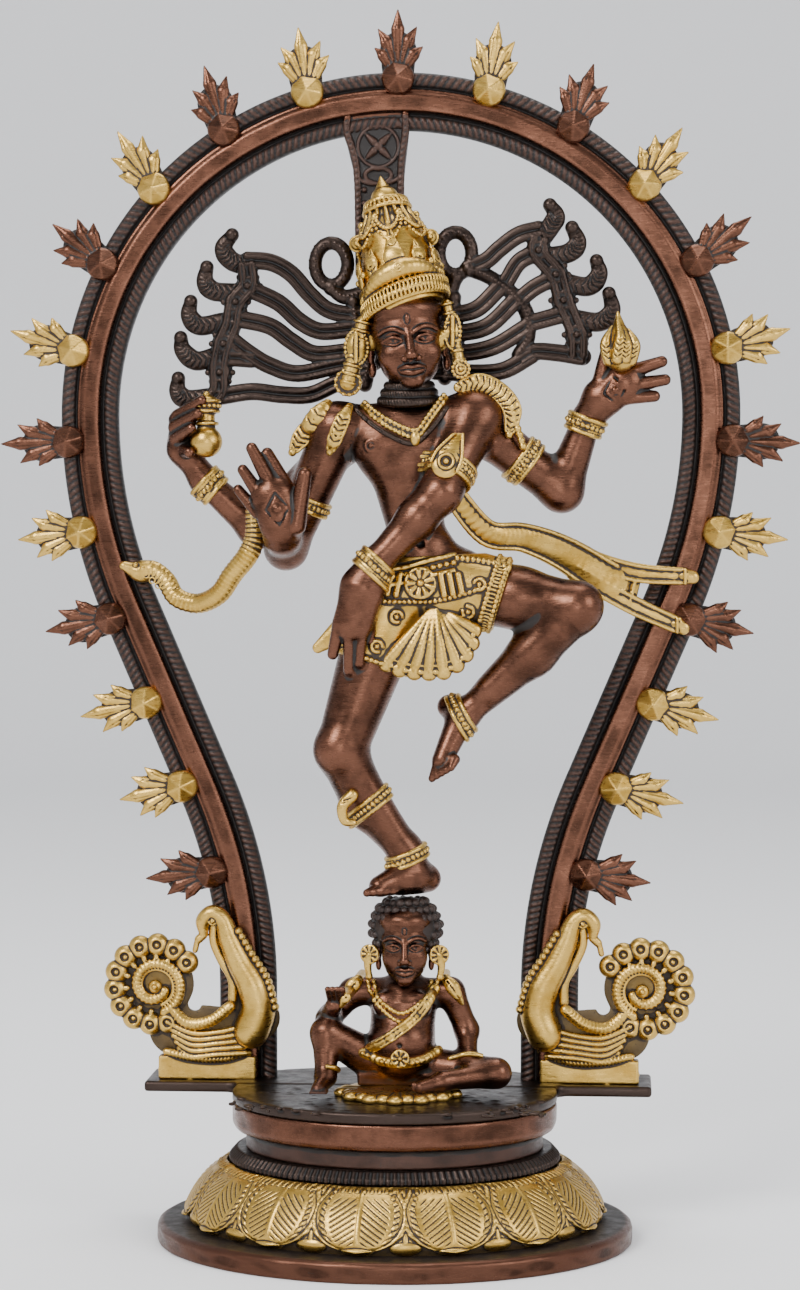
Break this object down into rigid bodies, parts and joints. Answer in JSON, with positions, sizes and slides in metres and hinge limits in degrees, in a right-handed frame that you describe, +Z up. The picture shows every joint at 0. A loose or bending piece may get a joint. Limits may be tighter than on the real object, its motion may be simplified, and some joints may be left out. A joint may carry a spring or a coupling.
{
  "type": "nataraja statue",
  "caption": "Brass dancing figure on one leg inside a ring of flames, standing on a dwarf over an oval lotus pedestal.",
  "frame": {"origin": "centre of the pedestal's oval footprint, on the surface it stands on", "axes": "+Z up, -Y towards the front that the dancer faces, +X to the viewer's right"},
  "size_m": [0.2526, 0.126, 0.3835],
  "materials": {
    "brass_gold": "polished raised brass with dark recesses",
    "copper_brown": "copper-brown patinated brass, rubbed bright on high spots",
    "dark_patina": "near-black patinated brass"
  },
  "bodies": {
    "root": {"lotus_ring": "brass_gold", "dwarf_ornaments": "brass_gold", "dwarf_earrings": "brass_gold", "lotus_mat": "brass_gold", "crown": "brass_gold", "ear_ornaments": "brass_gold", "necklace": "brass_gold", "armlets": "brass_gold", "bracelets": "brass_gold", "hip_cloth": "brass_gold", "leg_bands": "brass_gold", "sash": "brass_gold", "snake": "brass_gold", "damaru": "brass_gold", "fire": "brass_gold", "peacock_left": "brass_gold", "peacock_right": "brass_gold", "tab_screws": "brass_gold", "dwarf_screws": "brass_gold", "flame_left_1": "brass_gold", "flame_left_3": "brass_gold", "flame_left_5": "brass_gold", "flame_left_7": "brass_gold", "flame_left_9": "brass_gold", "flame_left_10": "brass_gold", "flame_right_1": "brass_gold", "flame_right_3": "brass_gold", "flame_right_5": "brass_gold", "flame_right_7": "brass_gold", "flame_right_9": "brass_gold", "flame_right_10": "brass_gold", "base_plate": "copper_brown", "plinth_drum": "copper_brown", "dwarf_body": "copper_brown", "dwarf_head": "copper_brown", "torso": "copper_brown", "head": "copper_brown", "arm_front_left": "copper_brown", "arm_back_left": "copper_brown", "arm_front_right": "copper_brown", "arm_back_right": "copper_brown", "leg_standing": "copper_brown", "leg_raised": "copper_brown", "arch_band": "copper_brown", "flame_top": "copper_brown", "flame_left_2": "copper_brown", "flame_left_4": "copper_brown", "flame_left_6": "copper_brown", "flame_left_8": "copper_brown", "flame_left_11": "copper_brown", "flame_right_2": "copper_brown", "flame_right_4": "copper_brown", "flame_right_6": "copper_brown", "flame_right_8": "copper_brown", "flame_right_11": "copper_brown", "beaded_collar": "dark_patina", "deck_plate": "dark_patina", "hair_left": "dark_patina", "hair_right": "dark_patina"}
  },
  "joints": []
}
